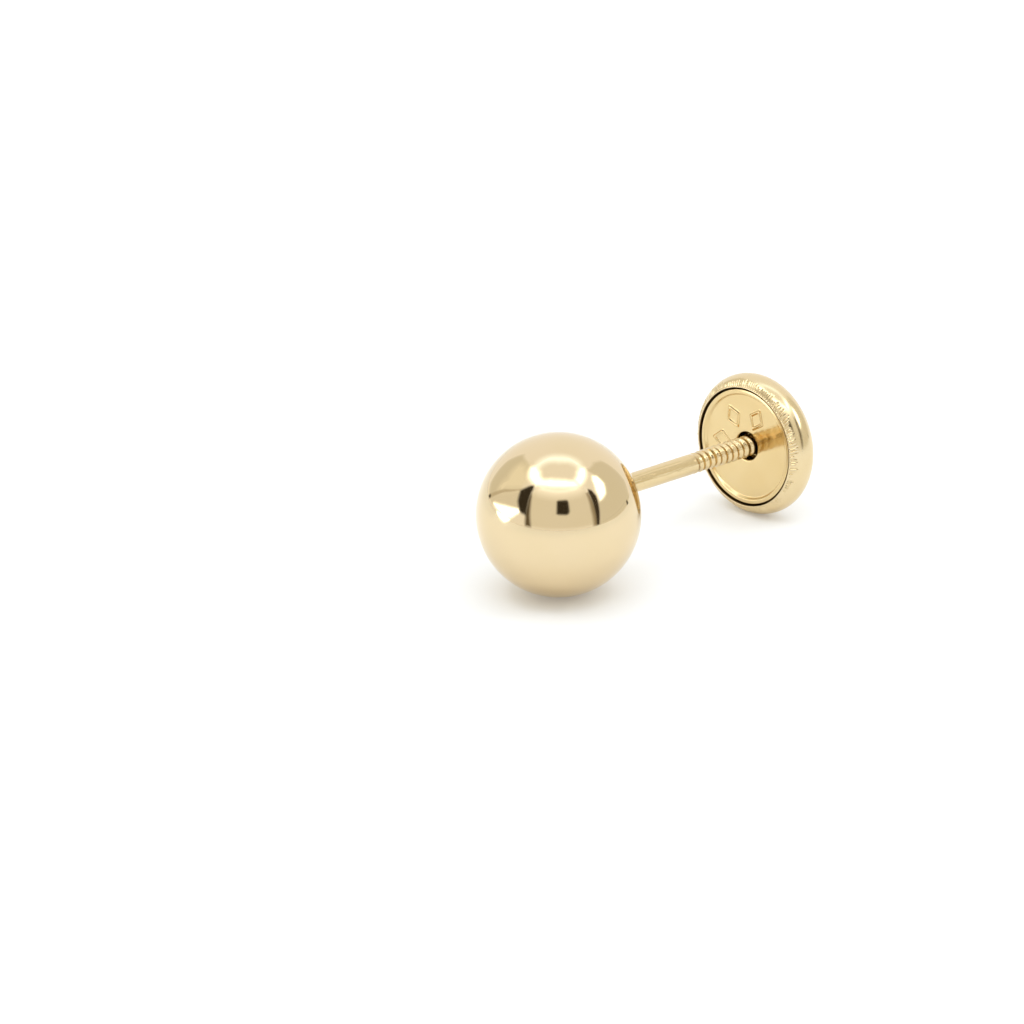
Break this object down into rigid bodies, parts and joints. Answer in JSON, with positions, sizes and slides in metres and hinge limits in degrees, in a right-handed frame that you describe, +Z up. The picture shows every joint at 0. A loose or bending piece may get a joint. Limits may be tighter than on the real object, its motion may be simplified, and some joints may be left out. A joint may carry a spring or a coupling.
{
  "type": "ball stud earring",
  "caption": "Pale gold ball stud earring: a polished ball on a threaded post, with a round hollow screw back. It lies on its ball and the back's rim.",
  "frame": {"origin": "on the floor, under the middle of the stud's length", "axes": "+X from the ball towards the screw back, +Z up. The post's axis lies in the XZ plane and dips 3.80 degrees towards the back"},
  "size_m": [0.0148, 0.006, 0.006],
  "materials": {
    "polished_gold": "mirror polished pale yellow gold",
    "pressed_gold": "polished pressed sheet gold",
    "machined_gold": "bright turned gold"
  },
  "bodies": {
    "stud": {"ball_post": "polished_gold"},
    "bush": {"thread_bush": "machined_gold"},
    "back": {"back_plate": "pressed_gold", "back_shell": "polished_gold"}
  },
  "joints": [
    {"name": "back_travel", "type": "slide", "parent": "stud", "child": "bush", "axis": [-0.9978, 0, 0.0662], "range_m": [-0.0009, 0.0033]},
    {"name": "back_turn", "type": "hinge", "parent": "bush", "child": "back", "pos_m": [0.00555, 0, 0.00263], "axis": [-0.9978, 0, 0.0662], "range_deg": [-1080, 3960]}
  ],
  "couplings": [
    {"joint": "back_turn", "follows": "back_travel", "rad_per_m": 20944}
  ]
}
